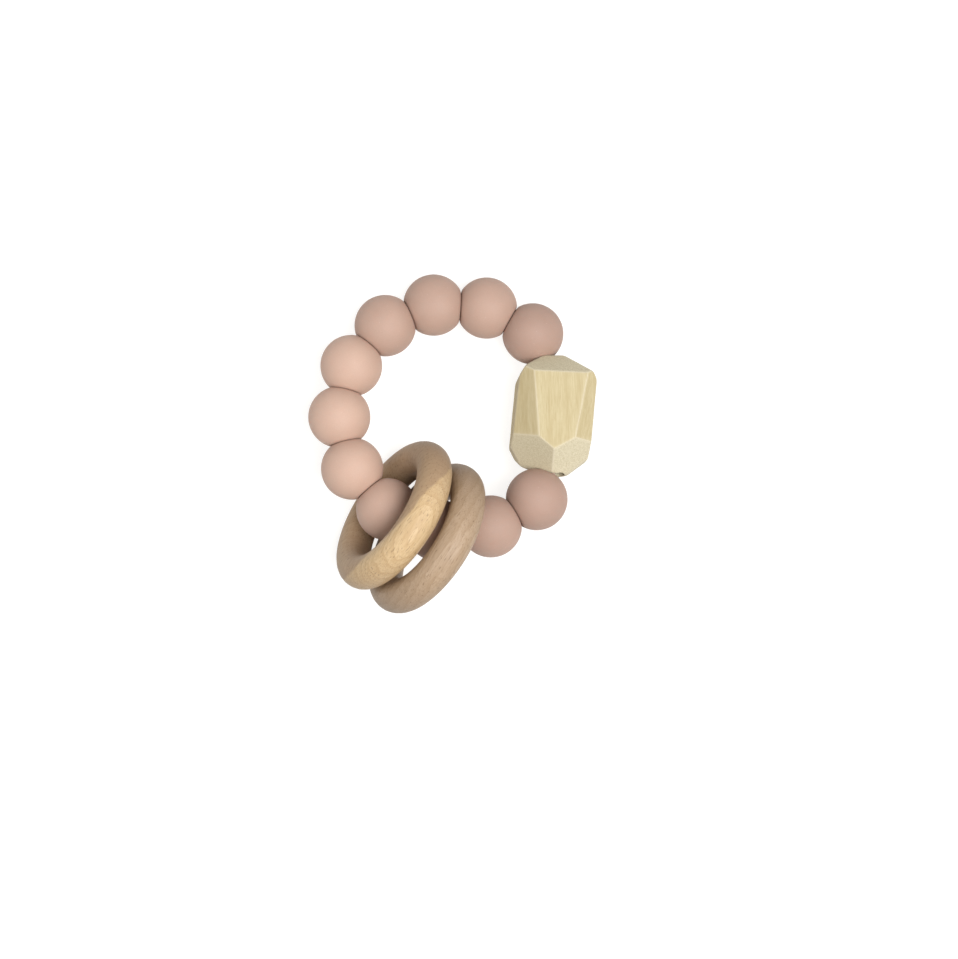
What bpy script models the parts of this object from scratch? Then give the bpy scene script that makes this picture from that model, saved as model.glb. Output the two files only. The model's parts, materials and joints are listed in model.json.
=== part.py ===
"""A silicone and wood teething rattle, lying as it rests on a table.

Eleven silicone beads, one faceted wooden bead and two turned wooden rings hang on one cord, which
is knotted inside the faceted bead. The beads make a stiff loop: their middles lie on one circle, and
the faceted bead closes it. The two rings stand round the loop with their lower edges under it, so
that side of the loop is lifted, and the loop rests on the rings' feet, the far beads and a facet.
"""

from math import acos, asin, atan, cos, pi, radians, sin, tan

import bmesh
import bpy
from mathutils import Matrix, Vector

MM = 0.001

# What is threaded
BEAD_COUNT = 11
BEAD_DIAMETER = 15.0 * MM
BEAD_LENGTH = 12.7 * MM
BEAD_BORE = 3.0 * MM
END_BEAD_REACH = 5.6 * MM
FACETED_LENGTH = 29.2 * MM
FACETED_HEIGHT_ABOVE_BORE = 9.8 * MM
FACETED_OUTER_REACH = 9.2 * MM
FACETED_INNER_REACH = 9.7 * MM
FACETED_BORE = 5.0 * MM
FACETED_EDGE_ROUNDING = 0.45 * MM

# The rings: the hole lets the beads through a leaning ring, with some play
RING_SECTION = 8.3 * MM
RING_PLAY = 3.5 * MM

# The cord and its knot
CORD_DIAMETER = 1.5 * MM
CORD_SIDE_CLEARANCE = 0.2 * MM
CORD_BEND_RADIUS = 4.0 * MM
CORD_BEND_STEPS = 3
KNOT_LENGTH = 6.0 * MM
KNOT_CLEARANCE = 0.3 * MM

# How it lies
GAP = 0.3 * MM
FACETED_BEARING = 0.0
UPHILL_BEARING = radians(-117)
LIFT_CLEARANCE = 0.87 * MM
RING_PAIR_BEARING = radians(-113.4)
RING_PAIR_SPACE = 1.3 * MM
FRONT_RING_SHIFT = -0.2 * MM
FRONT_RING_HEADING = radians(-34.1)
FRONT_RING_LEAN = radians(22.6)
BACK_RING_SHIFT = 1.9 * MM
BACK_RING_HEADING = radians(-33.5)
BACK_RING_LEAN = radians(23.7)

# Roundness of the solids
BEAD_SEGMENTS = 20
BEAD_ARC_STEPS = 9
RING_SEGMENTS = 32
RING_SECTION_POINTS = 14
BORE_SEGMENTS = 20
KNOT_ROWS = 12

# Sizes that follow from those above
BEAD_RADIUS = BEAD_DIAMETER / 2
BEAD_PITCH = BEAD_LENGTH + GAP
RING_HOLE = BEAD_DIAMETER / cos(FRONT_RING_LEAN) + RING_SECTION * tan(FRONT_RING_LEAN) + RING_PLAY
RING_RADIUS = (RING_HOLE + RING_SECTION) / 2


def clear_scene():
    """Removes every object of the open scene."""
    for obj in list(bpy.data.objects):
        bpy.data.objects.remove(obj, do_unlink=True)


def new_collection(name, helpers=False):
    """A collection in the scene; one of helpers is left out of renders."""
    made = bpy.data.collections.new(name)
    made.hide_render = helpers
    bpy.context.scene.collection.children.link(made)
    return made


def principled(name, colour, roughness):
    """A plain non-metallic material."""
    made = bpy.data.materials.new(name)
    made.use_nodes = True
    shader = made.node_tree.nodes["Principled BSDF"]
    shader.inputs["Base Color"].default_value = (*colour, 1)
    shader.inputs["Roughness"].default_value = roughness
    shader.inputs["Metallic"].default_value = 0
    return made


def add_object(name, data, collection, material=None):
    """An object in a collection, with its own material."""
    obj = bpy.data.objects.new(name, data)
    collection.objects.link(obj)
    if material and data:
        data.materials.clear()
        data.materials.append(material)
    return obj


# ---------------------------------------------------------------- the loop


def circle_through(links):
    """Radius of the circle that a closed chain of straight links, each a chord, is inscribed in."""
    low = max(links) / 2
    high = sum(links)
    for _ in range(80):
        middle = (low + high) / 2
        turned = sum(2 * asin(link / 2 / middle) for link in links)
        low, high = (middle, high) if turned > 2 * pi else (low, middle)
    return high


# The links run from bead middle to bead middle, and the last one spans the faceted bead
FACETED_LINK = FACETED_LENGTH + 2 * (GAP + END_BEAD_REACH)
BEAD_CIRCLE = circle_through([BEAD_PITCH] * (BEAD_COUNT - 1) + [FACETED_LINK])
BEAD_ANGLE = 2 * asin(BEAD_PITCH / 2 / BEAD_CIRCLE)
FACETED_ANGLE = 2 * asin(FACETED_LINK / 2 / BEAD_CIRCLE)
# The cord may cross from one bead's bore to the next a little askew, so an end bead's bore turns
# from the link to its neighbour by more than the others, and by less towards the faceted bead
MOUTH_SHIFT = BEAD_BORE - CORD_DIAMETER - 2 * CORD_SIDE_CLEARANCE
END_LINK_TURN = atan(tan(BEAD_ANGLE / 2) + MOUTH_SHIFT / (BEAD_PITCH / 2))
END_BEAD_TURN = (FACETED_ANGLE + BEAD_ANGLE) / 2 - END_LINK_TURN
# The faceted bead's bore lies where the bores of the beads next to it point, in the gap between
FACETED_OFFSET = (END_BEAD_REACH + GAP / 2) * tan(END_BEAD_TURN)
FACETED_CIRCLE = BEAD_CIRCLE * cos(FACETED_ANGLE / 2) + FACETED_OFFSET
LOOP_TILT = asin((RING_SECTION + LIFT_CLEARANCE) / (2 * BEAD_CIRCLE))
LOOP_HEIGHT = BEAD_RADIUS + BEAD_CIRCLE * sin(LOOP_TILT)


def on_circle(radius, bearing):
    """A point of the loop's own plane."""
    return Vector((radius * cos(bearing), radius * sin(bearing), 0))


def bead_bearing(number):
    """Where bead 1, 2, 3 ... sits, counted from the faceted bead."""
    return FACETED_BEARING + FACETED_ANGLE / 2 + (number - 1) * BEAD_ANGLE


def bore_bearing(number):
    """The bearing whose tangent a bead's bore follows: its own, but for the two end beads."""
    if number == 1:
        return FACETED_BEARING + END_BEAD_TURN
    if number == BEAD_COUNT:
        return FACETED_BEARING + 2 * pi - END_BEAD_TURN
    return bead_bearing(number)


def link_turn(number, following):
    """The angle between a bead's bore and the link to the bead after it, or before it."""
    link = bead_bearing(number) + BEAD_ANGLE / 2 * (1 if following else -1)
    return abs(link - bore_bearing(number))


def loop_matrix():
    """The loop's plane, raised and tilted so that it is highest at the uphill bearing."""
    hinge = Vector((sin(UPHILL_BEARING), -cos(UPHILL_BEARING), 0))
    return Matrix.Translation((0, 0, LOOP_HEIGHT)) @ Matrix.Rotation(LOOP_TILT, 4, hinge)


def add_frames(collection):
    """The empty of the loop's plane, and in it the two empties that the rings travel about."""
    loop = add_object("loop_frame", None, collection)
    loop.matrix_world = loop_matrix()
    travel = {}
    for which in ("front", "back"):
        travel[which] = add_object(f"ring_{which}_axis", None, collection)
        travel[which].parent = loop
    bpy.context.view_layer.update()
    return loop, travel


# ---------------------------------------------------------------- turned shapes


def turned(name, profile, segments, collection, material):
    """A closed profile in the XZ plane, turned about Z with a Screw modifier."""
    mesh = bpy.data.meshes.new(name)
    count = len(profile)
    edges = [(i, (i + 1) % count) for i in range(count)]
    mesh.from_pydata([(x, 0, z) for x, z in profile], edges, [])
    obj = add_object(name, mesh, collection, material)
    screw = obj.modifiers.new("Turned", "SCREW")
    screw.axis = "Z"
    screw.angle = 2 * pi
    screw.steps = segments
    screw.render_steps = segments
    screw.use_merge_vertices = True
    screw.merge_threshold = 0.00001
    screw.use_smooth_shade = True
    return obj


def bead_ends(number):
    """For a bead's following and preceding end: the turn from its bore to what it is pressed by,
    and how far that flat is from the bead's middle."""
    ends = []
    for following, last in ((True, BEAD_COUNT), (False, 1)):
        if number == last:
            ends.append((END_BEAD_TURN, END_BEAD_REACH))
        else:
            ends.append((link_turn(number, following), BEAD_LENGTH / 2))
    return ends


def bead_profile(ends):
    """A ball with a cone at each end, which keeps it clear of what presses it as it spins.

    The plane at a reach, turned from the bore by an angle, sweeps out a cone as the bead spins. Its
    line in the section is r * sin(turn) + z * cos(turn) = reach, and it meets the ball at the angle
    turn + acos(reach / radius) from the bore.
    """
    bore = BEAD_BORE / 2
    mouths = [(reach - bore * sin(turn)) / cos(turn) for turn, reach in ends]
    rims = [turn + acos(reach / BEAD_RADIUS) for turn, reach in ends]
    arc = pi - rims[0] - rims[1]
    points = [(bore, mouths[0])]
    for step in range(BEAD_ARC_STEPS + 1):
        angle = rims[0] + arc * step / BEAD_ARC_STEPS
        points.append((BEAD_RADIUS * sin(angle), BEAD_RADIUS * cos(angle)))
    points.append((bore, -mouths[1]))
    return points


def add_beads(loop, collection):
    """The silicone beads, each on its own bore's axis."""
    silicone = principled("dusty_rose_silicone", (0.65, 0.43, 0.35), 0.55)
    for number in range(1, BEAD_COUNT + 1):
        profile = bead_profile(bead_ends(number))
        bead = turned(f"bead_{number:02d}", profile, BEAD_SEGMENTS, collection, silicone)
        bead.parent = loop
        bead.location = on_circle(BEAD_CIRCLE, bead_bearing(number))
        bead.rotation_euler = (pi / 2, 0, bore_bearing(number) + pi)


def ring_profile():
    """The round section of a ring, from its outer side downwards and round."""
    points = []
    for step in range(RING_SECTION_POINTS):
        angle = pi / 2 - 2 * pi * step / RING_SECTION_POINTS
        points.append(
            (RING_RADIUS + RING_SECTION / 2 * cos(angle), RING_SECTION / 2 * sin(angle))
        )
    return points


def ring_place(foot_centre, heading, lean):
    """A ring that stands on the table round the string, its top leaning towards the heading."""
    height = RING_RADIUS * cos(lean) + RING_SECTION / 2
    turn = Matrix.Rotation(heading, 4, "Z") @ Matrix.Rotation(pi / 2 + lean, 4, "Y")
    return Matrix.Translation((foot_centre.x, foot_centre.y, height)) @ turn


def add_rings(travel, collection):
    """Both turned rings, side by side on the string, a ring's width and some space apart."""
    wood = principled("turned_beech", (0.62, 0.44, 0.27), 0.5)
    near, far = BEAD_CIRCLE + FRONT_RING_SHIFT, BEAD_CIRCLE + BACK_RING_SHIFT
    step = RING_SECTION + RING_PAIR_SPACE
    apart = acos((near**2 + far**2 - step**2) / (2 * near * far))
    front_centre = on_circle(near, RING_PAIR_BEARING - apart / 2)
    back_centre = on_circle(far, RING_PAIR_BEARING + apart / 2)
    places = {
        "front": ring_place(front_centre, FRONT_RING_HEADING, FRONT_RING_LEAN),
        "back": ring_place(back_centre, BACK_RING_HEADING, BACK_RING_LEAN),
    }
    for which, place in places.items():
        ring = turned(f"ring_{which}", ring_profile(), RING_SEGMENTS, collection, wood)
        ring.parent = travel[which]
        bpy.context.view_layer.update()
        ring.matrix_world = place


# ---------------------------------------------------------------- the faceted bead

# Each facet: its bearing round the bore from the outer side, 90 being up; how far it leans towards
# the end next to bead 1; and its distance from the bead's middle, as a share of a named reach.
UPPER_FACETS = (
    (91, 0, FACETED_HEIGHT_ABOVE_BORE),
    (51, -8, FACETED_HEIGHT_ABOVE_BORE * 1.14),
    (132, -2, FACETED_INNER_REACH * 1.08),
)
SIDE_FACETS = (
    (0, -6, FACETED_OUTER_REACH),
    (-42, 0, FACETED_OUTER_REACH * 0.98),
    (180, 7, FACETED_INNER_REACH),
    (-138, 3, FACETED_INNER_REACH),
)
FIRST_END_FACETS = (
    (87, 52, FACETED_LENGTH * 0.455),
    (180, 33, FACETED_LENGTH * 0.415),
    (175, 58, FACETED_LENGTH * 0.47),
    (5, 52, FACETED_LENGTH * 0.457),
    (0, 24, FACETED_LENGTH * 0.418),
    (-60, 58, FACETED_LENGTH * 0.49),
    (-150, 60, FACETED_LENGTH * 0.49),
)
LAST_END_FACETS = (
    (141, -41, FACETED_LENGTH * 0.397),
    (56, -48, FACETED_LENGTH * 0.42),
    (0, -54, FACETED_LENGTH * 0.469),
    (180, -73, FACETED_LENGTH * 0.485),
    (180, -31, FACETED_LENGTH * 0.45),
    (-45, -52, FACETED_LENGTH * 0.48),
    (-130, -55, FACETED_LENGTH * 0.48),
)


def cut_off(solid, point, normal):
    """Cuts away what lies beyond a plane and closes the cut with one face."""
    geometry = solid.verts[:] + solid.edges[:] + solid.faces[:]
    made = bmesh.ops.bisect_plane(
        solid, geom=geometry, plane_co=point, plane_no=normal, dist=1e-7, clear_outer=True
    )
    rim = [item for item in made["geom_cut"] if isinstance(item, bmesh.types.BMEdge)]
    if rim:
        bmesh.ops.holes_fill(solid, edges=rim, sides=0)


def facet_normal(bearing, lean):
    """Unit normal of a facet: X is the outer side, Z up, and Y along the bore."""
    around = radians(bearing)
    along = radians(lean)
    return Vector((cos(around) * cos(along), sin(along), sin(around) * cos(along)))


def faceted_blank(place):
    """A block cut to its flat ends, its facets and the facet that lies on the table."""
    solid = bmesh.new()
    bmesh.ops.create_cube(solid, size=1)
    wide = 3 * max(FACETED_OUTER_REACH, FACETED_HEIGHT_ABOVE_BORE)
    bmesh.ops.scale(solid, vec=(wide, FACETED_LENGTH, wide), verts=solid.verts)
    for bearing, lean, reach in UPPER_FACETS + SIDE_FACETS + FIRST_END_FACETS + LAST_END_FACETS:
        normal = facet_normal(bearing, lean)
        cut_off(solid, normal * reach, normal)
    table = place.inverted()
    cut_off(solid, table @ Vector((0, 0, 0)), table.to_3x3() @ Vector((0, 0, -1)))
    bmesh.ops.recalc_face_normals(solid, faces=solid.faces)
    return solid


def add_faceted_bead(loop, collection, cutters):
    """The wooden nugget, its edges eased, and bored through from end to end."""
    place = Matrix.Translation(on_circle(FACETED_CIRCLE, FACETED_BEARING))
    place = place @ Matrix.Rotation(FACETED_BEARING, 4, "Z")
    solid = faceted_blank(loop_matrix() @ place)
    mesh = bpy.data.meshes.new("faceted_bead")
    solid.to_mesh(mesh)
    solid.free()
    maple = principled("raw_maple", (0.74, 0.62, 0.38), 0.6)
    bead = add_object("faceted_bead", mesh, collection, maple)
    bead.parent = loop
    bead.matrix_local = place
    ease = bead.modifiers.new("Eased edges", "BEVEL")
    ease.width = FACETED_EDGE_ROUNDING
    ease.segments = 2
    ease.limit_method = "ANGLE"
    ease.angle_limit = radians(12)

    drill = bmesh.new()
    bmesh.ops.create_cone(
        drill,
        cap_ends=True,
        segments=BORE_SEGMENTS,
        radius1=FACETED_BORE / 2,
        radius2=FACETED_BORE / 2,
        depth=FACETED_LENGTH * 1.5,
        matrix=Matrix.Rotation(pi / 2, 4, "X"),
    )
    drill_mesh = bpy.data.meshes.new("faceted_bore_cutter")
    drill.to_mesh(drill_mesh)
    drill.free()
    cutter = add_object("faceted_bore_cutter", drill_mesh, cutters)
    cutter.parent = loop
    cutter.matrix_local = place
    cutter.hide_render = True
    cutter.display_type = "WIRE"
    bore = bead.modifiers.new("Bore", "BOOLEAN")
    bore.operation = "DIFFERENCE"
    bore.solver = "EXACT"
    bore.object = cutter


# ---------------------------------------------------------------- the cord and its knot


def bore_crossing(number, following):
    """Where a bead's bore axis meets the plane halfway to the bead after it, or before it."""
    side = 1 if following else -1
    reach = side * BEAD_PITCH / 2 / cos(link_turn(number, following))
    along = on_circle(reach, bore_bearing(number) + pi / 2)
    return on_circle(BEAD_CIRCLE, bead_bearing(number)) + along


def bend_points():
    """Where the cord turns, between one bead and the next and at the faceted bead's two ends."""
    middle = on_circle(FACETED_CIRCLE, FACETED_BEARING)
    mouth = on_circle((FACETED_LENGTH + GAP) / 2, FACETED_BEARING + pi / 2)
    between = [
        (bore_crossing(number, True) + bore_crossing(number + 1, False)) / 2
        for number in range(1, BEAD_COUNT)
    ]
    return [middle + mouth] + between + [middle - mouth]


def eased_bend(before, corner, after):
    """The cord's round turn at one joint, tangent to both straight runs."""
    arriving = (corner - before).normalized()
    leaving = (after - corner).normalized()
    turn = arriving.angle(leaving)
    setback = CORD_BEND_RADIUS * tan(turn / 2)
    inward = (leaving - arriving).normalized()
    centre = corner + inward * (CORD_BEND_RADIUS / cos(turn / 2))
    start = corner - arriving * setback
    spoke = start - centre
    axis = arriving.cross(leaving)
    points = []
    for step in range(CORD_BEND_STEPS + 1):
        part = turn * step / CORD_BEND_STEPS
        points.append(centre + Matrix.Rotation(part, 3, axis) @ spoke)
    return points


def cord_route():
    """The whole cord, from one face of the knot round the loop to its other face."""
    middle = on_circle(FACETED_CIRCLE, FACETED_BEARING)
    along = Vector((-sin(FACETED_BEARING), cos(FACETED_BEARING), 0))
    knot_face = KNOT_LENGTH / 2 + GAP
    bends = bend_points()
    stops = [middle + along * knot_face] + bends + [middle - along * knot_face]
    route = [stops[0]]
    for before, corner, after in zip(stops, stops[1:], stops[2:]):
        route += eased_bend(before, corner, after)
    return route + [stops[-1]]


def add_cord(loop, collection):
    """One nylon cord through every bead, as an open tube."""
    curve = bpy.data.curves.new("cord", "CURVE")
    curve.dimensions = "3D"
    curve.bevel_depth = CORD_DIAMETER / 2
    curve.bevel_resolution = 2
    curve.use_fill_caps = True
    route = cord_route()
    spline = curve.splines.new("POLY")
    spline.points.add(len(route) - 1)
    for point, place in zip(spline.points, route):
        point.co = (*place, 1)
    nylon = principled("braided_nylon", (0.62, 0.48, 0.40), 0.6)
    cord = add_object("cord", curve, collection, nylon)
    cord.parent = loop


def add_knot(loop, collection):
    """The knot, a snug barrel in the middle of the faceted bead's bore."""
    nylon = principled("knotted_nylon", (0.58, 0.45, 0.38), 0.65)
    across = FACETED_BORE - 2 * KNOT_CLEARANCE
    shape = bmesh.new()
    bmesh.ops.create_uvsphere(shape, u_segments=BORE_SEGMENTS, v_segments=KNOT_ROWS, radius=0.5)
    bmesh.ops.scale(shape, vec=(across, across, KNOT_LENGTH), verts=shape.verts)
    mesh = bpy.data.meshes.new("cord_knot")
    shape.to_mesh(mesh)
    shape.free()
    mesh.shade_smooth()
    knot = add_object("cord_knot", mesh, collection, nylon)
    knot.parent = loop
    knot.location = on_circle(FACETED_CIRCLE, FACETED_BEARING)
    knot.rotation_euler = (pi / 2, 0, FACETED_BEARING)


# ---------------------------------------------------------------- the whole


def centre_on_origin(loop, collection):
    """Moves the loop so that the rattle's box stands on the origin, centred."""
    bpy.context.view_layer.update()
    graph = bpy.context.evaluated_depsgraph_get()
    corners = []
    for obj in collection.objects:
        if obj.type == "EMPTY":
            continue
        solid = obj.evaluated_get(graph)
        mesh = solid.to_mesh()
        corners += [solid.matrix_world @ vertex.co for vertex in mesh.vertices]
        solid.to_mesh_clear()
    low = Vector([min(corner[axis] for corner in corners) for axis in range(3)])
    high = Vector([max(corner[axis] for corner in corners) for axis in range(3)])
    shift = Vector((-(low.x + high.x) / 2, -(low.y + high.y) / 2, -low.z))
    loop.matrix_world = Matrix.Translation(shift) @ loop.matrix_world
    bpy.context.view_layer.update()


def main():
    """Builds the rattle."""
    clear_scene()
    rattle = new_collection("teething_rattle")
    cutters = new_collection("cutters", helpers=True)
    loop, travel = add_frames(rattle)
    add_beads(loop, rattle)
    add_faceted_bead(loop, rattle, cutters)
    add_rings(travel, rattle)
    add_cord(loop, rattle)
    add_knot(loop, rattle)
    centre_on_origin(loop, rattle)


main()
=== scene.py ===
"""The looks of a silicone and wood teething rattle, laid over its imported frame, in metres."""

import json

import bpy
import numpy as np
from mathutils import Matrix, Vector


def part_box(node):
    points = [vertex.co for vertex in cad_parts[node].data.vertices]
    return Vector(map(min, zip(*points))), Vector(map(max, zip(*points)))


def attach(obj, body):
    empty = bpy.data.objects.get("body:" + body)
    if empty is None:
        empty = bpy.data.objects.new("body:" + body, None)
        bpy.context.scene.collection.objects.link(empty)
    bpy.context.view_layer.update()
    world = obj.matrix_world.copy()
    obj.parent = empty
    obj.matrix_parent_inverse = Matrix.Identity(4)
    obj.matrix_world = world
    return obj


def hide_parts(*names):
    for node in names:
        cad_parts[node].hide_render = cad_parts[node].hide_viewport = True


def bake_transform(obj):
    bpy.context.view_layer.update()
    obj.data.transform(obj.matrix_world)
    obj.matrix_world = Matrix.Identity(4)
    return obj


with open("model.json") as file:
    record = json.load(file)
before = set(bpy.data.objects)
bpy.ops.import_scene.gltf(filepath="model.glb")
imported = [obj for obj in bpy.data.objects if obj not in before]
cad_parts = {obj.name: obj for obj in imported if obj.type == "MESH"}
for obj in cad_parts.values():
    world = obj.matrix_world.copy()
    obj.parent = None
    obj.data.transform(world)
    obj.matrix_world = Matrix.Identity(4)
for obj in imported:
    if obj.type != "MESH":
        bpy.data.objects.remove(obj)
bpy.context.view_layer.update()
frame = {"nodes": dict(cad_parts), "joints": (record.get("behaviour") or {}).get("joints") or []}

# ------------------------------------------------------------------------------------------------
# The table and the light. The rattle lies on backlit white paper under one broad soft box to its
# right, with a small weak one to its left that keeps the shaded sides open.

MM = 0.001
joints = {joint["name"]: joint for joint in frame["joints"]}
loop_centre = np.array(joints["ring_front_travel"]["pos_m"])
loop_axis = np.array(joints["ring_front_travel"]["axis"])

CAMERA_HEIGHT = 462 * MM
CAMERA_OFFSET = (5.5 * MM, -15.4 * MM)
CAMERA_ROLL = -0.75
FIELD_WIDTH = 233.25 * MM
FIELD_LEVEL = 12 * MM
SENSOR = 36
TABLE_HALF = 60.0
TABLE_LEVEL = -0.05 * MM


def linear(code, alpha=1.0):
    """A colour written as sRGB hex, such as "c8a597", turned to linear red, green, blue, alpha."""
    channels = [int(code[i : i + 2], 16) / 255 for i in (0, 2, 4)]
    curve = [c / 12.92 if c <= 0.04045 else ((c + 0.055) / 1.055) ** 2.4 for c in channels]
    return (*curve, alpha)


def new_material(name):
    """A material with its node tree and its Principled shader."""
    material = bpy.data.materials.new(name)
    material.use_nodes = True
    tree = material.node_tree
    return material, tree, tree.nodes["Principled BSDF"]


def place_in_scene(name, data):
    """An object of that data, linked to the scene."""
    item = bpy.data.objects.new(name, data)
    bpy.context.scene.collection.objects.link(item)
    return item


camera_data = bpy.data.cameras.new("camera")
camera_data.sensor_width = SENSOR
camera_data.lens = SENSOR * (CAMERA_HEIGHT - FIELD_LEVEL) / FIELD_WIDTH
camera = place_in_scene("camera", camera_data)
camera.location = (loop_centre[0] + CAMERA_OFFSET[0], loop_centre[1] + CAMERA_OFFSET[1], CAMERA_HEIGHT)
camera.rotation_euler = (0, 0, np.radians(CAMERA_ROLL))
bpy.context.scene.camera = camera

table_mesh = bpy.data.meshes.new("table")
table_signs = ((-1, -1), (1, -1), (1, 1), (-1, 1))
table_corners = [(x * TABLE_HALF, y * TABLE_HALF, TABLE_LEVEL) for x, y in table_signs]
table_mesh.from_pydata(table_corners, [], [(0, 1, 2, 3)])
table = place_in_scene("table", table_mesh)
# Paper lit from below as well as above, as on a light table: pure white, with next to no shadow
paper, tree, shader = new_material("backlit_paper")
shader.inputs["Base Color"].default_value = linear("898988")
shader.inputs["Roughness"].default_value = 0.9
shader.inputs["Specular IOR Level"].default_value = 0.1
shader.inputs["Emission Color"].default_value = linear("fefdfb")
shader.inputs["Emission Strength"].default_value = 0.85
table_mesh.materials.append(paper)


def soft_box(name, place, size, watts, colour):
    """A square area light that the camera doesn't see, turned to face the rattle."""
    data = bpy.data.lights.new(name, "AREA")
    data.shape = "SQUARE"
    data.size = size
    data.energy = watts
    data.color = linear(colour)[:3]
    light = place_in_scene(name, data)
    light.location = place
    light.rotation_mode = "QUATERNION"
    light.rotation_quaternion = (Vector((0, 0, 0)) - Vector(place)).to_track_quat("-Z", "Y")
    light.visible_camera = False


soft_box("soft_box", (0.25, -0.07, 0.74), 0.42, 8.3, "ffffff")
soft_box("left_box", (-0.24, 0.04, 0.30), 0.22, 0.45, "ffffff")
room = bpy.data.worlds.new("room")
bpy.context.scene.world = room
room.use_nodes = True
room.node_tree.nodes["Background"].inputs["Color"].default_value = linear("f6f7fa")
room.node_tree.nodes["Background"].inputs["Strength"].default_value = 0.22
bpy.context.scene.view_settings.view_transform = "Standard"

# ------------------------------------------------------------------------------------------------
# The faceted bead. A block of pale maple, sawn to flat facets and bored from end to end for the
# cord. It is left raw: fine straight grain along the bore, speckled end grain, and a highlight painted
# lighter along its edges.

NUGGET_BORE = 2.5 * MM
NUGGET_EDGE_POWER = 95
NUGGET_ROWS = 250
NUGGET_WALL_ROWS = 8
NUGGET_COLUMNS = 360
SMALLEST_FACET = 5.5 * MM**2
EDGE_ZONE = 0.15 * MM
SAW_WAVINESS = 0.035 * MM


def unit(vector):
    """A direction of length one."""
    return np.array(vector) / np.linalg.norm(vector)


def axis_frame(axis, outward):
    """Three unit vectors: outward made square to the axis, the third one, and the axis."""
    axis = unit(axis)
    first = unit(outward - axis * (outward @ axis))
    return first, np.cross(axis, first), axis


def flat_facets(node, centre):
    """Normals and distances from the centre of a node's large flat faces.

    The largest triangle left gives a plane, and every triangle within two degrees of it joins it.
    """
    mesh = frame["nodes"][node].data
    places = np.array([vertex.co for vertex in mesh.vertices]) - centre
    corners = places[np.array([face.vertices[:] for face in mesh.polygons])]
    cross = np.cross(corners[:, 1] - corners[:, 0], corners[:, 2] - corners[:, 0])
    area = np.linalg.norm(cross, axis=1) / 2
    keep = area > 1e-12
    corners, area, cross = corners[keep], area[keep], cross[keep]
    normals = cross / (2 * area[:, None])
    left = (normals * corners[:, 0]).sum(1) > 0
    planes = []
    while left.any():
        first = np.argmax(np.where(left, area, 0))
        same = left & (normals @ normals[first] > np.cos(np.radians(2)))
        if area[same].sum() > SMALLEST_FACET:
            planes.append((*normals[first], normals[first] @ corners[first, 0]))
        left &= ~same
    planes = np.array(planes)
    return planes[:, :3], planes[:, 3]


def surface(name, points, material, capped=False):
    """A piece from a grid of points. Columns close on themselves; rows do too, or end in caps.

    Where the faces enclose a negative volume they point inwards, and all are turned round.
    """
    rows, columns = points.shape[:2]
    index = np.arange(rows * columns).reshape(rows, columns)
    upper = index[:-1] if capped else index
    lower = index[1:] if capped else np.roll(index, -1, 0)
    quads = np.stack([upper, lower, np.roll(lower, -1, 1), np.roll(upper, -1, 1)], -1).reshape(-1, 4)
    corners = (points - points.mean((0, 1))).reshape(-1, 3)[quads]
    halves = [np.cross(corners[:, k], corners[:, k + 1]) for k in (1, 2)]
    inside_out = (corners[:, 0] * (halves[0] + halves[1])).sum() < 0
    faces = quads.tolist()
    if capped:
        faces += [index[0].tolist(), index[-1, ::-1].tolist()]
    if inside_out:
        faces = [face[::-1] for face in faces]
    mesh = bpy.data.meshes.new(name)
    mesh.from_pydata(points.reshape(-1, 3), [], faces)
    mesh.shade_smooth()
    mesh.set_sharp_from_angle(angle=np.radians(50))
    mesh.materials.append(material)
    return place_in_scene(name, mesh)


def mark(piece, name, values):
    """A number for each point of a piece, which its material reads."""
    attribute = piece.data.attributes.new(name, "FLOAT", "POINT")
    attribute.data.foreach_set("value", np.asarray(values, np.float32).ravel())


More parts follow.
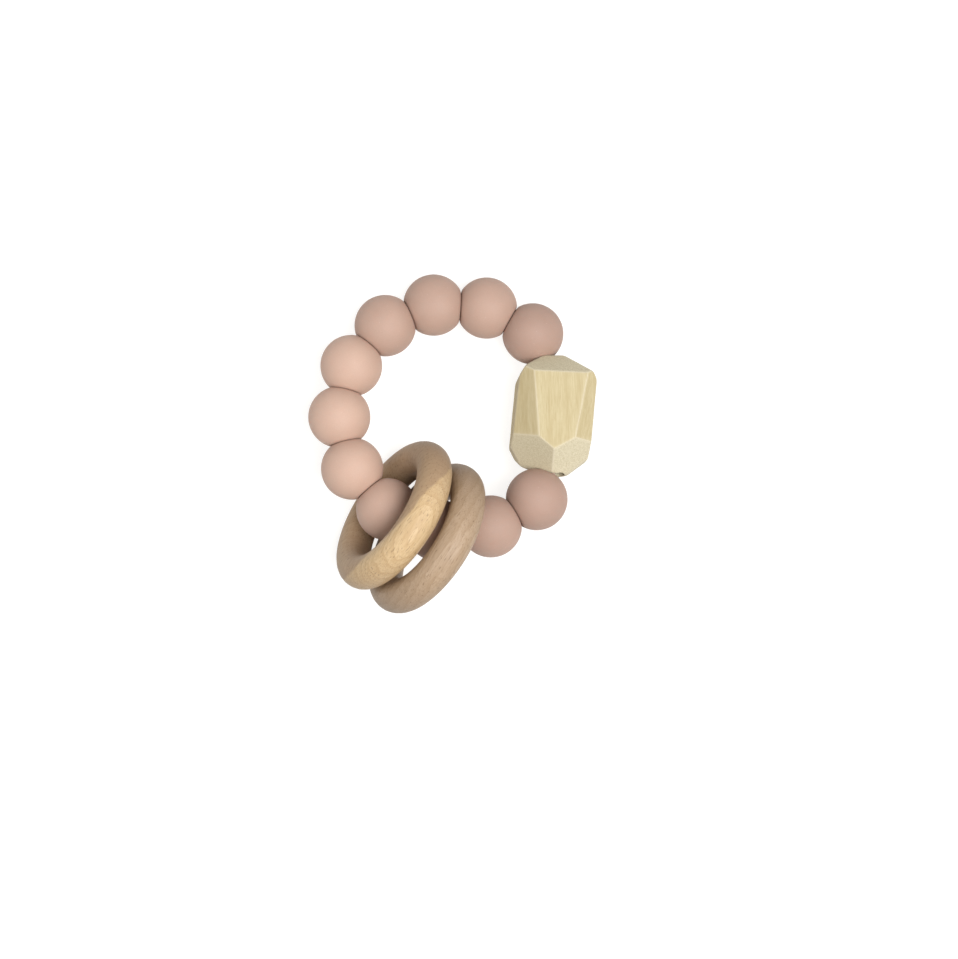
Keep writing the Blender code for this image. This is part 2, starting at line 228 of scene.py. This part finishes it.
def faceted_grid(normals, reaches):
    """The nugget's points, and for each how near it is to an edge and how far it faces an end.

    Directions from the middle sweep from one mouth of the bore over the body to the other. A
    facet cuts a direction off at reach / (direction . normal), and the radius is the power mean of
    those cuts, which is the nearest of them with a small rounding where two are alike. The bore's
    wall then runs straight back.
    """
    first, second, along = nugget_frame
    turn = np.linspace(0, 2 * np.pi, NUGGET_COLUMNS, endpoint=False)[:, None]
    spoke = first * np.cos(turn) + second * np.sin(turn)
    mouths = []
    for side in (1, -1):
        faces_end = side * (normals @ along) > 0.3
        heights = reaches[faces_end] - NUGGET_BORE * spoke @ normals[faces_end].T
        heights = heights / (side * (normals[faces_end] @ along))
        mouths.append(np.arctan2(NUGGET_BORE, heights.min(1)))
    share = np.linspace(0, 1, NUGGET_ROWS)[:, None]
    polar = (mouths[0] + (np.pi - mouths[1] - mouths[0]) * share)[..., None]
    direction = np.sin(polar) * spoke + np.cos(polar) * along
    cuts = np.maximum(direction @ normals.T / reaches, 0)
    highest = cuts.max(-1, keepdims=True)
    weights = (cuts / highest) ** NUGGET_EDGE_POWER
    radius = 1 / (highest[..., 0] * weights.sum(-1) ** (1 / NUGGET_EDGE_POWER))
    points = radius[..., None] * direction
    ordered = np.sort(cuts, -1)
    edge = np.exp(-(1 - ordered[..., -2] / ordered[..., -1]) * radius / EDGE_ZONE)
    ends = (weights * np.abs(normals @ along)).sum(-1) / weights.sum(-1)
    across, lengthwise = points @ first, points @ along
    wave = np.sin(across / (1.9 * MM) + 1.3) * np.sin(lengthwise / (3.1 * MM)) + np.sin(
        lengthwise / (1.3 * MM) + points @ second / (2.3 * MM)
    )
    points = points + direction * (SAW_WAVINESS * wave * (1 - edge) / 2)[..., None]
    depth = np.linspace(0, 1, NUGGET_WALL_ROWS + 2)[1:-1, None]
    heights = lengthwise[-1] + (lengthwise[0] - lengthwise[-1]) * depth
    wall = NUGGET_BORE * spoke[None] + heights[..., None] * along
    fill = np.ones((NUGGET_WALL_ROWS, NUGGET_COLUMNS))
    points = np.concatenate([points, wall]) + nugget_centre
    return points, np.concatenate([edge, 0 * fill]), np.concatenate([ends, 0.5 * fill])


def add(tree, kind, settings=None, **links):
    """Adds a node. Settings are properties or input values; links give what feeds its inputs.

    "#2" or i2 names an input by number, and a link's _ stands for a space.
    """
    node = tree.nodes.new(kind)
    for name, value in (settings or {}).items():
        if hasattr(node, name):
            setattr(node, name, value)
        else:
            node.inputs[int(name[1:]) if name[0] == "#" else name].default_value = value
    for name, socket in links.items():
        slot = int(name[1:]) if name[:1] == "i" and name[1:].isdigit() else name.replace("_", " ")
        tree.links.new(socket, node.inputs[slot])
    return node


def grain_turn(across, layers, along):
    """The rotation of a grain's own frame, whose X, Y and Z are the three directions given."""
    return Matrix(np.array([across, layers, along]).T.tolist()).to_euler()


def raw_maple():
    """Hard maple, sawn and lightly sanded, with no finish.

    Pale straw with faint growth bands and hair-fine fibres along the bore. Cut across, the fibres
    end in speckles, which take in dust and look greyer. Along the edges a highlight is painted lighter.
    """
    material, tree, shader = new_material("sawn_raw_maple")
    place = add(tree, "ShaderNodeTexCoord")
    grain = add(tree, "ShaderNodeMapping", {"vector_type": "TEXTURE", "Location": nugget_centre.tolist(),
                "Rotation": grain_turn(*nugget_frame)}, Vector=place.outputs["Object"])
    banding = add(tree, "ShaderNodeMapping", {"Scale": (1 / (1.5 * MM), 1 / (1.1 * MM), 1 / (45 * MM))},
                  Vector=grain.outputs["Vector"])
    bands = add(tree, "ShaderNodeTexNoise", {"Scale": 1.0, "Detail": 3.0, "Roughness": 0.6},
                Vector=banding.outputs["Vector"])
    fibring = add(tree, "ShaderNodeMapping", {"Scale": (1 / (0.24 * MM), 1 / (0.24 * MM), 1 / (4 * MM))},
                  Vector=grain.outputs["Vector"])
    fibres = add(tree, "ShaderNodeTexNoise", {"Scale": 1.0, "Detail": 4.0, "Roughness": 0.7},
                 Vector=fibring.outputs["Vector"])
    grit = add(tree, "ShaderNodeTexNoise", {"Scale": 1 / (0.34 * MM), "Detail": 3.0, "Roughness": 0.75},
               Vector=grain.outputs["Vector"])
    edge = add(tree, "ShaderNodeAttribute", {"attribute_name": "edge"})
    ends = add(tree, "ShaderNodeAttribute", {"attribute_name": "end_grain"})
    endness = add(tree, "ShaderNodeMapRange", {"From Min": 0.25, "From Max": 0.7}, Value=ends.outputs["Fac"])
    band_share = add(tree, "ShaderNodeMapRange", {"From Min": 0.38, "From Max": 0.66},
                     Value=bands.outputs["Fac"])
    straw = add(tree, "ShaderNodeMix", {"data_type": "RGBA", "#6": linear("bcaf8c"), "#7": linear("b3a47f")},
                i0=band_share.outputs["Result"])
    fibre_share = add(tree, "ShaderNodeMapRange", {"From Min": 0.42, "From Max": 0.66, "To Max": 0.65},
                      Value=fibres.outputs["Fac"])
    fibred = add(tree, "ShaderNodeMix", {"data_type": "RGBA", "#7": linear("a7956d")},
                 i0=fibre_share.outputs["Result"], i6=straw.outputs[2])
    speckle = add(tree, "ShaderNodeMapRange", {"From Min": 0.35, "From Max": 0.68}, Value=grit.outputs["Fac"])
    grey = add(tree, "ShaderNodeMix", {"data_type": "RGBA", "#6": linear("ccc3a9"), "#7": linear("b2a689")},
               i0=speckle.outputs["Result"])
    cut = add(tree, "ShaderNodeMix", {"data_type": "RGBA"}, i0=endness.outputs["Result"],
              i6=fibred.outputs[2], i7=grey.outputs[2])
    # Painted highlight: near the edges the colour is painted lighter
    painted_edge_highlight = add(tree, "ShaderNodeMath", {"operation": "MULTIPLY", "#1": 0.5}, i0=edge.outputs["Fac"])
    colour = add(tree, "ShaderNodeMix", {"data_type": "RGBA", "#7": linear("d2cab6")},
                 i0=painted_edge_highlight.outputs["Value"], i6=cut.outputs[2])
    relief = add(tree, "ShaderNodeMix", {"data_type": "FLOAT"}, i0=endness.outputs["Result"],
                 i2=fibres.outputs["Fac"], i3=grit.outputs["Fac"])
    bump = add(tree, "ShaderNodeBump", {"Strength": 0.5, "Distance": 0.05 * MM}, Height=relief.outputs[0])
    rough = add(tree, "ShaderNodeMapRange", {"To Min": 0.62, "To Max": 0.8}, Value=grit.outputs["Fac"])
    tree.links.new(colour.outputs[2], shader.inputs["Base Color"])
    tree.links.new(bump.outputs["Normal"], shader.inputs["Normal"])
    tree.links.new(rough.outputs["Result"], shader.inputs["Roughness"])
    shader.inputs["Specular IOR Level"].default_value = 0.25
    return material


nugget_centre = np.array(joints["faceted_bead_spin"]["pos_m"])
nugget_frame = axis_frame(joints["faceted_bead_spin"]["axis"], nugget_centre - loop_centre)
facet_normals, facet_reaches = flat_facets("faceted_bead", nugget_centre)
nugget_points, nugget_edges, nugget_ends = faceted_grid(facet_normals, facet_reaches)
nugget = surface("faceted_bead_wood", nugget_points, raw_maple())
mark(nugget, "edge", nugget_edges)
mark(nugget, "end_grain", nugget_ends)
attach(nugget, "faceted")
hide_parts("faceted_bead")

# ------------------------------------------------------------------------------------------------
# The eleven silicone beads. Each is moulded in one piece, a 15 mm ball with a bore, and strung so
# tight that neighbours press each other flat. Dusty rose, with a dry velvety skin.

BEAD_COUNT = 11
BEAD_RADIUS = 7.5 * MM
BEAD_BORE = 1.5 * MM
CONTACT_GAP = 0.03 * MM
CONTACT_ROUNDING = 0.15 * MM
BEAD_ROWS = 150
BEAD_WALL_ROWS = 12
BEAD_COLUMNS = 132
# Painted light and shade: each bead's colour is painted lighter or darker for how the light falls
# on it, and those at the left are painted paler
BEAD_PAINTED_LIGHT = (0.24, 0.54, 0.48, 0.56, 0.97, 1.0, 0.95, 0.75, 0.25, 0.44, 0.28)


def ball_grid(axis, outward):
    """A ball about the origin with a bore along its axis, as a grid that closes both ways.

    The skin is radius * (sin, cos) of an angle that runs from one mouth to the other, turned full
    circle about the axis; the bore's wall runs straight back.
    """
    first, second, along = axis_frame(axis, outward)
    mouth = np.arcsin(BEAD_BORE / BEAD_RADIUS)
    polar = np.linspace(mouth, np.pi - mouth, BEAD_ROWS)
    height = np.cos(mouth) * BEAD_RADIUS
    wall = np.linspace(-height, height, BEAD_WALL_ROWS + 2)[1:-1]
    across = np.concatenate([np.sin(polar) * BEAD_RADIUS, np.full(BEAD_WALL_ROWS, BEAD_BORE)])
    lengthwise = np.concatenate([np.cos(polar) * BEAD_RADIUS, wall])
    turn = np.linspace(0, 2 * np.pi, BEAD_COLUMNS, endpoint=False)[:, None]
    spoke = first * np.cos(turn) + second * np.sin(turn)
    return across[:, None, None] * spoke + lengthwise[:, None, None] * along


def pressed(points, normals, reaches):
    """Points pushed out of a hard body that is given by its facets' normals and reaches.

    A point's height over the body is the highest of its heights over the facets, softened over
    the contact's rounding. A point lower than the gap moves out along the facets' own normals, by
    rounding * log(1 + exp(lack / rounding)).
    """
    heights = points @ normals.T - reaches
    highest = heights.max(-1, keepdims=True)
    weights = np.exp((heights - highest) / CONTACT_ROUNDING)
    height = highest[..., 0] + CONTACT_ROUNDING * np.log(weights.sum(-1))
    outward = weights @ normals
    outward = outward / np.linalg.norm(outward, axis=-1, keepdims=True)
    lack = (CONTACT_GAP - height) / CONTACT_ROUNDING
    push = CONTACT_ROUNDING * np.logaddexp(0, lack)
    return points + push[..., None] * outward


def moulded_silicone():
    """Platinum silicone from a blasted mould: matte, with a broad soft shine and a dry dusty bloom.

    A little light goes in and comes out redder, which softens the shade at the rim.
    """
    material, tree, shader = new_material("moulded_matte_silicone")
    place = add(tree, "ShaderNodeTexCoord")
    cloud = add(tree, "ShaderNodeTexNoise", {"Scale": 1 / (5 * MM), "Detail": 3.0},
                Vector=place.outputs["Object"])
    skin = add(tree, "ShaderNodeTexNoise", {"Scale": 1 / (0.28 * MM), "Detail": 4.0, "Roughness": 0.65},
               Vector=place.outputs["Object"])
    dust = add(tree, "ShaderNodeTexVoronoi", {"Scale": 1 / (1.6 * MM)}, Vector=place.outputs["Object"])
    # Painted light and shade: each bead's colour is mixed lighter or darker by a share set per bead
    painted_light_share = add(tree, "ShaderNodeAttribute", {"attribute_name": "painted_light_tone"})
    painted_light_tone = add(tree, "ShaderNodeMix", {"data_type": "RGBA", "#6": linear("997e71"), "#7": linear("ba9c8b")},
              i0=painted_light_share.outputs["Fac"])
    tint = add(tree, "ShaderNodeMapRange", {"To Min": 0.95, "To Max": 1.05}, Value=cloud.outputs["Fac"])
    grain = add(tree, "ShaderNodeMapRange", {"From Min": 0.3, "From Max": 0.7, "To Min": 0.97,
                "To Max": 1.03}, Value=skin.outputs["Fac"])
    both = add(tree, "ShaderNodeMath", {"operation": "MULTIPLY"}, i0=tint.outputs["Result"],
               i1=grain.outputs["Result"])
    tinted = add(tree, "ShaderNodeVectorMath", {"operation": "SCALE"}, Vector=painted_light_tone.outputs[2],
                 Scale=both.outputs["Value"])
    lint = add(tree, "ShaderNodeMapRange", {"From Min": 0.04, "From Max": 0.09, "To Min": 0.3, "To Max": 0.0},
               Value=dust.outputs["Distance"])
    colour = add(tree, "ShaderNodeMix", {"data_type": "RGBA", "#7": linear("c6afa6")},
                 i0=lint.outputs["Result"], i6=tinted.outputs["Vector"])
    rough = add(tree, "ShaderNodeMapRange", {"To Min": 0.55, "To Max": 0.72}, Value=skin.outputs["Fac"])
    bump = add(tree, "ShaderNodeBump", {"Strength": 0.3, "Distance": 0.03 * MM}, Height=skin.outputs["Fac"])
    tree.links.new(colour.outputs[2], shader.inputs["Base Color"])
    tree.links.new(rough.outputs["Result"], shader.inputs["Roughness"])
    tree.links.new(bump.outputs["Normal"], shader.inputs["Normal"])
    shader.inputs["IOR"].default_value = 1.41
    shader.inputs["Specular IOR Level"].default_value = 0.4
    shader.inputs["Subsurface Weight"].default_value = 0.12
    shader.inputs["Subsurface Radius"].default_value = (1.0, 0.45, 0.35)
    shader.inputs["Subsurface Scale"].default_value = 0.7 * MM
    shader.inputs["Sheen Weight"].default_value = 0.06
    shader.inputs["Sheen Roughness"].default_value = 0.5
    shader.inputs["Sheen Tint"].default_value = linear("f0d8ce")
    return material


bead_names = [f"bead_{number:02d}" for number in range(1, BEAD_COUNT + 1)]
bead_centres = [np.array(joints[name + "_spin"]["pos_m"]) for name in bead_names]
bead_axes = [unit(joints[name + "_spin"]["axis"]) for name in bead_names]
silicone_skin = moulded_silicone()
for number, name in enumerate(bead_names):
    centre, axis = bead_centres[number], bead_axes[number]
    points = ball_grid(axis, centre - loop_centre)
    for other in (number - 1, number + 1):
        if 0 <= other < BEAD_COUNT:
            between = (bead_centres[other] - centre) / 2
            points = pressed(points, -unit(between)[None], -np.linalg.norm([between], axis=1))
        else:
            offset = centre - nugget_centre
            points = pressed(points + offset, facet_normals, facet_reaches) - offset
            heights = facet_normals @ offset - facet_reaches
            -facet_normals[heights.argmax()]
    bead = surface(name + "_ball", points + centre, silicone_skin)
    # Painted light and shade: the share by which this bead's colour is painted lighter or darker
    mark(bead, "painted_light_tone", np.full(len(bead.data.vertices), BEAD_PAINTED_LIGHT[number]))
    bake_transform(bead)
    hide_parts(name)

# ------------------------------------------------------------------------------------------------
# The two rings. Each is turned from a flat-sawn board and oiled, so the grain runs one way through
# it: long bands on two sides, and browner end grain where the curve cuts across the fibres.

RING_RADIUS = 15.75 * MM
RING_SECTION = 4.15 * MM
RING_ROWS = 540
RING_COLUMNS = 150
TOOL_MARK = 0.012 * MM


def ring_frame(node):
    """A ring's centre, and its axis as the direction in which its points spread least."""
    low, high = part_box(node)
    centre = (np.array(low) + np.array(high)) / 2
    places = np.array([vertex.co for vertex in frame["nodes"][node].data.vertices]) - centre
    axis = np.linalg.svd(places, full_matrices=False)[2][2]
    return centre, axis * np.sign(axis[0])


def ring_grid(centre, axis, level):
    """A round section carried round a circle: (radius + r cos v) outwards and r sin v along the axis.

    r is a hair less or more along the ring, as hand sanding leaves it, with fine turning marks
    round the section.
    """
    first, second, along = axis_frame(axis, level)
    u = np.linspace(0, 2 * np.pi, RING_ROWS, endpoint=False)[:, None, None]
    v = np.linspace(0, 2 * np.pi, RING_COLUMNS, endpoint=False)[None, :, None]
    sanded = 1 + 0.006 * np.sin(3 * u + 1) * np.cos(2 * v) + 0.004 * np.sin(5 * u + v)
    r = RING_SECTION * sanded + TOOL_MARK * np.sin(24 * v + 0.6 * np.sin(2 * u))
    spoke = first * np.cos(u) + second * np.sin(u)
    return centre + (RING_RADIUS + r * np.cos(v)) * spoke + r * np.sin(v) * along


def turned_beech(name, centre, grain, layers, pith, growth, tones, deep_side):
    """Beech, turned, sanded and oiled: warm tan with the year layers showing where they are cut.

    The layers are shells round a pith line outside the ring. On the crown of a flat-sawn ring they
    surface as nested ovals, and on its flanks as long parallel lines. Short dark flecks lie along
    the grain, the cut-across ends drink more oil and go brown, and past a straight line on one side
    the wood is a deeper brown.
    """
    material, tree, shader = new_material(name)
    early, late, brown = tones
    deep_side_direction, deep_side_start = deep_side
    place = add(tree, "ShaderNodeTexCoord")
    middle = add(tree, "ShaderNodeMapping", {"vector_type": "TEXTURE", "Location": centre.tolist(),
                 "Rotation": grain_turn(grain, np.cross(layers, grain), layers)},
                 Vector=place.outputs["Object"])
    shifted = add(tree, "ShaderNodeVectorMath", {"operation": "ADD", "#1": (0, 0, pith)},
                  i0=middle.outputs["Vector"])
    wander = add(tree, "ShaderNodeMapping", {"Scale": (1 / (16 * MM), 1 / (5 * MM), 1 / (5 * MM))},
                 Vector=middle.outputs["Vector"])
    drift = add(tree, "ShaderNodeTexNoise", {"Scale": 1.0, "Detail": 2.0}, Vector=wander.outputs["Vector"])
    straying = add(tree, "ShaderNodeVectorMath", {"operation": "MULTIPLY_ADD", "#1": (0, 2.4 * MM, 3.2 * MM)},
                   i0=drift.outputs["Color"], i2=shifted.outputs["Vector"])
    # The wave's phase is distance * scale * 20, and a full year layer is 2 pi of it
    years = add(tree, "ShaderNodeTexWave", {"wave_type": "RINGS", "rings_direction": "X",
                "wave_profile": "SAW", "Scale": 2 * np.pi / 20 / growth, "Distortion": 0.5,
                "Detail": 2.0, "Detail Scale": 3.0},
                Vector=straying.outputs["Vector"])
    layer = add(tree, "ShaderNodeMath", {"operation": "POWER", "#1": 2.4}, i0=years.outputs["Fac"])
    faint = add(tree, "ShaderNodeMath", {"operation": "MULTIPLY", "#1": 0.6}, i0=layer.outputs["Value"])
    fibring = add(tree, "ShaderNodeMapping", {"Scale": (1 / (5 * MM), 1 / (0.3 * MM), 1 / (0.3 * MM))},
                  Vector=middle.outputs["Vector"])
    fibres = add(tree, "ShaderNodeTexNoise", {"Scale": 1.0, "Detail": 4.0, "Roughness": 0.7},
                 Vector=fibring.outputs["Vector"])
    flecking = add(tree, "ShaderNodeMapping", {"Scale": (1 / (1.7 * MM), 1 / (0.3 * MM), 1 / (0.3 * MM))},
                   Vector=middle.outputs["Vector"])
    flecks = add(tree, "ShaderNodeTexNoise", {"Scale": 1.0, "Detail": 1.0}, Vector=flecking.outputs["Vector"])
    facing = add(tree, "ShaderNodeVectorMath", {"operation": "DOT_PRODUCT", "#1": grain.tolist()},
                 i0=place.outputs["Normal"])
    turned_away = add(tree, "ShaderNodeMath", {"operation": "ABSOLUTE"}, i0=facing.outputs["Value"])
    endness = add(tree, "ShaderNodeMapRange", {"From Min": 0.3, "From Max": 0.95, "To Max": 0.4},
                  Value=turned_away.outputs["Value"])
    # A deeper brown past a straight line on one side of the ring
    reach = add(tree, "ShaderNodeVectorMath", {"operation": "DOT_PRODUCT", "#1": deep_side_direction},
                i0=straying.outputs["Vector"])
    deep_side_share = add(tree, "ShaderNodeMapRange", {"From Min": deep_side_start, "From Max": deep_side_start + 0.5 * MM,
                    "To Max": 0.62}, Value=reach.outputs["Value"])
    oiled = add(tree, "ShaderNodeMix", {"data_type": "RGBA", "#6": linear(early), "#7": linear(late)},
                i0=faint.outputs["Value"])
    fibre_share = add(tree, "ShaderNodeMapRange", {"From Min": 0.42, "From Max": 0.64, "To Max": 0.62},
                      Value=fibres.outputs["Fac"])
    fibred = add(tree, "ShaderNodeMix", {"data_type": "RGBA", "#7": linear(late)},
                 i0=fibre_share.outputs["Result"], i6=oiled.outputs[2])
    deepened = add(tree, "ShaderNodeMix", {"data_type": "RGBA", "#7": linear(brown)},
                  i0=deep_side_share.outputs["Result"], i6=fibred.outputs[2])
    ended = add(tree, "ShaderNodeMix", {"data_type": "RGBA", "#7": linear(brown)},
                i0=endness.outputs["Result"], i6=deepened.outputs[2])
    fleck_share = add(tree, "ShaderNodeMapRange", {"From Min": 0.62, "From Max": 0.72, "To Max": 0.55},
                      Value=flecks.outputs["Fac"])
    colour = add(tree, "ShaderNodeMix", {"data_type": "RGBA", "#7": linear("69523b")},
                 i0=fleck_share.outputs["Result"], i6=ended.outputs[2])
    height = add(tree, "ShaderNodeMath", {"operation": "ADD"}, i0=fibres.outputs["Fac"],
                 i1=years.outputs["Fac"])
    bump = add(tree, "ShaderNodeBump", {"Strength": 0.35, "Distance": 0.04 * MM},
               Height=height.outputs["Value"])
    rough = add(tree, "ShaderNodeMapRange", {"To Min": 0.42, "To Max": 0.62}, Value=fibres.outputs["Fac"])
    tree.links.new(colour.outputs[2], shader.inputs["Base Color"])
    tree.links.new(bump.outputs["Normal"], shader.inputs["Normal"])
    tree.links.new(rough.outputs["Result"], shader.inputs["Roughness"])
    shader.inputs["Specular IOR Level"].default_value = 0.35
    return material


UP = np.array([0.0, 0.0, 1.0])
# Each ring: how far its layers' normal turns from straight up towards its axis, how far the pith
# lies, how thick a year's layer is, its tones, and where its deeper brown on one side begins
RING_WOODS = {
    "ring_front": (0, 36 * MM, 1.35 * MM, ("c4aa84", "ab8c63", "896f59"), ((0.19, 0.98, 0), -1.3 * MM)),
    "ring_back": (104, 60 * MM, 2.1 * MM, ("a79078", "91785c", "7b6652"), ((-0.9, 0.4, 0), 30 * MM)),
}
for name, (lean, pith, growth, tones, deep_side) in RING_WOODS.items():
    centre, axis = ring_frame(name)
    grain = unit(np.cross(UP, axis))
    flank = np.cross(grain, UP)
    layers = UP * np.cos(np.radians(lean)) + flank * np.sin(np.radians(lean))
    wood = turned_beech(name + "_oiled_beech", centre, grain, layers, pith, growth, tones, deep_side)
    ring = surface(name + "_wood", ring_grid(centre, axis, grain), wood)
    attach(ring, name)
    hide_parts(name)

# ------------------------------------------------------------------------------------------------
# The cord and its knot. One 1.5 mm braided nylon cord runs through every bead, and its two ends are
# tied in a barrel knot, which is pulled into the middle of the faceted bead's bore.

CORD_RADIUS = 0.73 * MM
CORD_STEP = 0.16 * MM
CORD_COLUMNS = 32
CORD_SMOOTHING = 11
CORD_STRANDS = 4
BRAID_LENGTH = 2.6 * MM
KNOT_HALF = 2.75 * MM
KNOT_COIL = 1.35 * MM
KNOT_TURNS = 3.5
KNOT_ROWS = 420
KNOT_END_ROWS = 8
KNOT_GAP = 0.3 * MM
CORD_END_ROWS = 5
MOUTH_INSET = 2 * MM
BORE_REACH = 5 * MM
STRAND_RELIEF = 0.08


def swept(path, reference, radius):
    """A round section carried along a path, whose sides are square to the path and the reference.

    Two sets of strands cross round it: the radius swells by the strands' relief where either set's
    sine is high.
    """
    ahead = np.gradient(path, axis=0)
    steps = np.linalg.norm(ahead, axis=1, keepdims=True)
    ahead = ahead / steps
    side = np.cross(reference, ahead)
    side = side / np.linalg.norm(side, axis=1, keepdims=True)
    other = np.cross(ahead, side)
    travelled = np.cumsum(steps)[:, None]
    v = np.linspace(0, 2 * np.pi, CORD_COLUMNS, endpoint=False)[None]
    twist = 2 * np.pi * travelled / BRAID_LENGTH
    strands = np.maximum(np.sin(CORD_STRANDS * v + twist), np.sin(CORD_STRANDS * v - twist))
    r = (radius * (1 - STRAND_RELIEF + STRAND_RELIEF * strands))[..., None]
    around = np.cos(v)[..., None] * side[:, None] + np.sin(v)[..., None] * other[:, None]
    return path[:, None] + r * around


def closed_ends(count, rows):
    """A share of full size along a tube: 1, but round like a ball over the rows at either end."""
    along = np.arange(count)
    from_end = np.minimum(np.minimum(along, along[::-1]) / rows, 1)
    return np.sqrt(1 - (1 - from_end) ** 2 * 0.99)[:, None]


def cord_path():
    """The cord's middle line: straight in each bore and eased between them.

    It runs through points on each bore's axis, then its short steps are averaged over a few.
    """
    lead = nugget_frame[2]
    mouth = (facet_reaches / np.maximum(facet_normals @ lead, 1e-3)).min()
    knot_end = KNOT_HALF + KNOT_GAP
    stops = [nugget_centre + lead * reach for reach in (knot_end, mouth - MOUTH_INSET)]
    for centre, axis in zip(bead_centres, bead_axes):
        heading = axis * np.sign(axis @ np.cross(loop_axis, centre - loop_centre))
        stops += [centre - heading * BORE_REACH, centre + heading * BORE_REACH]
    stops += [nugget_centre - lead * reach for reach in (mouth - MOUTH_INSET, knot_end)]
    stops = np.array(stops)
    travelled = np.concatenate([[0], np.cumsum(np.linalg.norm(np.diff(stops, axis=0), axis=1))])
    marks = np.arange(0, travelled[-1], CORD_STEP)
    dense = np.stack([np.interp(marks, travelled, stops[:, k]) for k in range(3)], 1)
    margin = CORD_SMOOTHING // 2
    padded = np.pad(dense, ((margin, margin), (0, 0)), mode="reflect", reflect_type="odd")
    weights = np.ones(CORD_SMOOTHING) / CORD_SMOOTHING
    return np.stack([np.convolve(padded[:, k], weights, "valid") for k in range(3)], 1)


def knot_path():
    """The wraps: a helix about the bore's axis that narrows to it at both ends."""
    first, second, along = nugget_frame
    share = np.linspace(-1, 1, KNOT_ROWS)[:, None]
    turn = np.pi * KNOT_TURNS * share
    coil = KNOT_COIL * np.sqrt(1 - np.abs(share) ** 5 * 0.98)
    length = KNOT_HALF - CORD_RADIUS
    around = first * np.cos(turn) + second * np.sin(turn)
    return nugget_centre + coil * around + along * length * share


def braided_nylon():
    """Dyed nylon braid: crossing strands with a soft dull gloss, and shade painted into the valleys."""
    material, tree, shader = new_material("braided_nylon")
    place = add(tree, "ShaderNodeTexCoord")
    fuzz = add(tree, "ShaderNodeTexNoise", {"Scale": 1 / (0.12 * MM), "Detail": 3.0},
               Vector=place.outputs["Object"])
    valley = add(tree, "ShaderNodeNewGeometry")
    # Painted shade: where the surface is hollow, between the strands, the colour is painted darker
    depth = add(tree, "ShaderNodeMapRange", {"From Min": 0.47, "From Max": 0.53},
                Value=valley.outputs["Pointiness"])
    dye_with_painted_shade = add(tree, "ShaderNodeMix", {"data_type": "RGBA", "#6": linear("8f7062"), "#7": linear("c2a08f")},
               i0=depth.outputs["Result"])
    tint = add(tree, "ShaderNodeMapRange", {"To Min": 0.88, "To Max": 1.1}, Value=fuzz.outputs["Fac"])
    colour = add(tree, "ShaderNodeVectorMath", {"operation": "SCALE"}, Vector=dye_with_painted_shade.outputs[2],
                 Scale=tint.outputs["Result"])
    bump = add(tree, "ShaderNodeBump", {"Strength": 0.5, "Distance": 0.03 * MM}, Height=fuzz.outputs["Fac"])
    tree.links.new(colour.outputs["Vector"], shader.inputs["Base Color"])
    tree.links.new(bump.outputs["Normal"], shader.inputs["Normal"])
    shader.inputs["Roughness"].default_value = 0.6
    shader.inputs["IOR"].default_value = 1.53
    shader.inputs["Sheen Weight"].default_value = 0.2
    return material


nylon = braided_nylon()
route = cord_path()
cord_sizes = CORD_RADIUS * closed_ends(len(route), CORD_END_ROWS)
cord = surface("cord_braid", swept(route, loop_axis, cord_sizes), nylon, capped=True)
wrap_sizes = CORD_RADIUS * closed_ends(KNOT_ROWS, KNOT_END_ROWS)
wraps = swept(knot_path(), nugget_frame[2], wrap_sizes)
knot = surface("cord_knot_wraps", wraps, nylon, capped=True)
for piece, node in ((cord, "cord"), (knot, "cord_knot")):
    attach(piece, "string")
    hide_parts(node)
